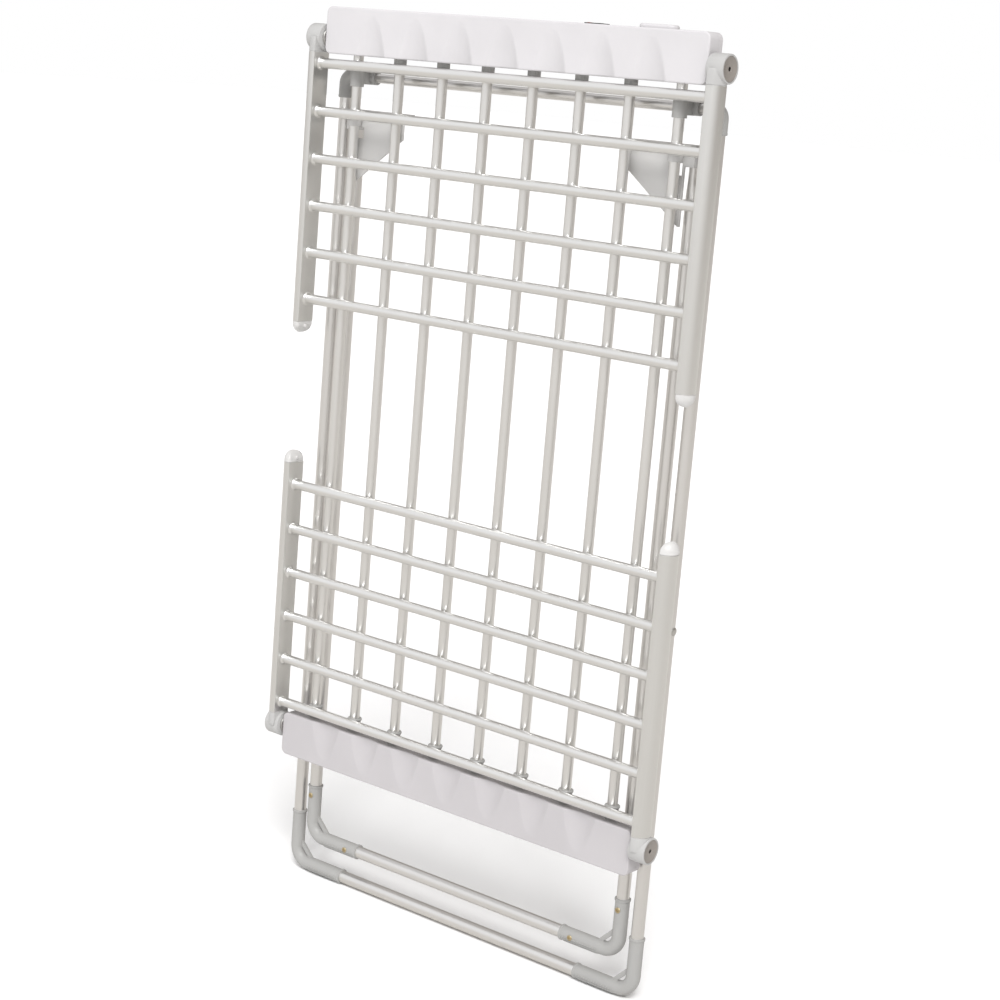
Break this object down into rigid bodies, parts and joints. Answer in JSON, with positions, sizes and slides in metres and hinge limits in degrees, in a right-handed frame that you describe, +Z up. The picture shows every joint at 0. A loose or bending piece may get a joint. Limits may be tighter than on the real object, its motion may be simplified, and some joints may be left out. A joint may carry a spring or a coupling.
{
  "type": "folding winged heated clothes airer",
  "caption": "Folding electric clothes airer: heated bar panel between two plastic housings, two fold-out wings and an X leg frame with sliding brackets.",
  "frame": {"origin": "middle of the 10 mm top cross rod behind the upper housing, by which the folded airer hangs", "axes": "X across the airer, +Z up the folded airer, -Y towards the folded wings, +Y towards the legs"},
  "size_m": [0.54, 0.0556, 1.0111],
  "materials": {
    "housing_plastic": "fine spark texture, pale lilac grey",
    "cap_plastic": "smooth satin, off-white",
    "grey_plastic": "smooth satin, light warm grey",
    "disc_plastic": "satin, mid grey",
    "dark_plastic": "satin black",
    "terminal_plastic": "cream",
    "thermostat": "dark phenolic",
    "red_rocker": "glossy translucent red",
    "bar_aluminium": "satin silver anodised",
    "leg_aluminium": "satin silver anodised",
    "zinc_steel": "bright zinc plated",
    "brass_plate": "yellow zinc plated",
    "heater_wire": "silicone sleeved"
  },
  "bodies": {
    "centre_panel": {"top_front_cover": "housing_plastic", "top_rear_cover": "housing_plastic", "bottom_front_cover": "housing_plastic", "bottom_rear_cover": "housing_plastic", "centre_bar_1": "bar_aluminium", "centre_bar_2": "bar_aluminium", "centre_bar_3": "bar_aluminium", "centre_bar_4": "bar_aluminium", "centre_bar_5": "bar_aluminium", "centre_bar_6": "bar_aluminium", "centre_bar_7": "bar_aluminium", "centre_bar_8": "bar_aluminium", "top_bar_collars": "grey_plastic", "bottom_bar_collars": "grey_plastic", "leg_bearings": "grey_plastic", "centre_heater_wires": "heater_wire", "terminal_block": "terminal_plastic", "thermal_cutout": "thermostat", "cover_screws": "zinc_steel", "wing_pivot_bolts": "zinc_steel", "switch_body": "dark_plastic", "cord_outlet": "housing_plastic"},
    "upper_wing": {"upper_rail_left": "bar_aluminium", "upper_rail_right": "bar_aluminium", "upper_bar_1": "bar_aluminium", "upper_bar_2": "bar_aluminium", "upper_bar_3": "bar_aluminium", "upper_bar_4": "bar_aluminium", "upper_bar_5": "bar_aluminium", "upper_bar_6": "bar_aluminium", "upper_hinge_fittings": "cap_plastic", "upper_pivot_discs": "disc_plastic", "upper_end_caps": "cap_plastic", "upper_heater_wires": "heater_wire"},
    "lower_wing": {"lower_rail_left": "bar_aluminium", "lower_rail_right": "bar_aluminium", "lower_bar_1": "bar_aluminium", "lower_bar_2": "bar_aluminium", "lower_bar_3": "bar_aluminium", "lower_bar_4": "bar_aluminium", "lower_bar_5": "bar_aluminium", "lower_bar_6": "bar_aluminium", "lower_hinge_fittings": "cap_plastic", "lower_pivot_discs": "disc_plastic", "lower_end_caps": "cap_plastic", "lower_heater_wires": "heater_wire"},
    "outer_leg": {"outer_leg_tubes": "leg_aluminium", "outer_leg_rod": "leg_aluminium", "outer_leg_top_elbows": "grey_plastic", "outer_foot_bar": "leg_aluminium", "outer_foot_elbows": "grey_plastic", "outer_leg_rivets": "zinc_steel"},
    "slide_brackets_body": {"slide_brackets": "grey_plastic", "bracket_pins": "zinc_steel"},
    "inner_leg": {"inner_leg_tubes": "leg_aluminium", "inner_foot_bar": "leg_aluminium", "inner_foot_elbows": "grey_plastic", "inner_leg_rivets": "zinc_steel", "elbow_screws": "brass_plate"},
    "rocker": {"switch_rocker": "red_rocker"}
  },
  "joints": [
    {"name": "upper_wing_hinge", "type": "hinge", "parent": "centre_panel", "child": "upper_wing", "pos_m": [0, -0.03, 0.0395], "axis": [-1, 0, 0], "range_deg": [0, 145]},
    {"name": "lower_wing_hinge", "type": "hinge", "parent": "centre_panel", "child": "lower_wing", "pos_m": [0, -0.03, -0.7505], "axis": [1, 0, 0], "range_deg": [0, 145]},
    {"name": "leg_fold", "type": "hinge", "parent": "centre_panel", "child": "outer_leg", "pos_m": [0, 0, 0], "axis": [1, 0, 0], "range_deg": [0, 53.07]},
    {"name": "bracket_slide", "type": "slide", "parent": "centre_panel", "child": "slide_brackets_body", "axis": [0, 0, -1], "range_m": [0, 0.4912]},
    {"name": "inner_leg_hinge", "type": "hinge", "parent": "slide_brackets_body", "child": "inner_leg", "pos_m": [0, 0, -0.049], "axis": [1, 0, 0], "range_deg": [0, 118.17]},
    {"name": "rocker_tilt", "type": "hinge", "parent": "centre_panel", "child": "rocker", "pos_m": [0.106, -0.0247, 0.07], "axis": [0, -1, 0], "range_deg": [0, 14]}
  ],
  "couplings": [
    {"joint": "bracket_slide", "follows": "leg_fold", "m_per_rad": 0.53007},
    {"joint": "inner_leg_hinge", "follows": "leg_fold", "ratio": 2.2262}
  ]
}
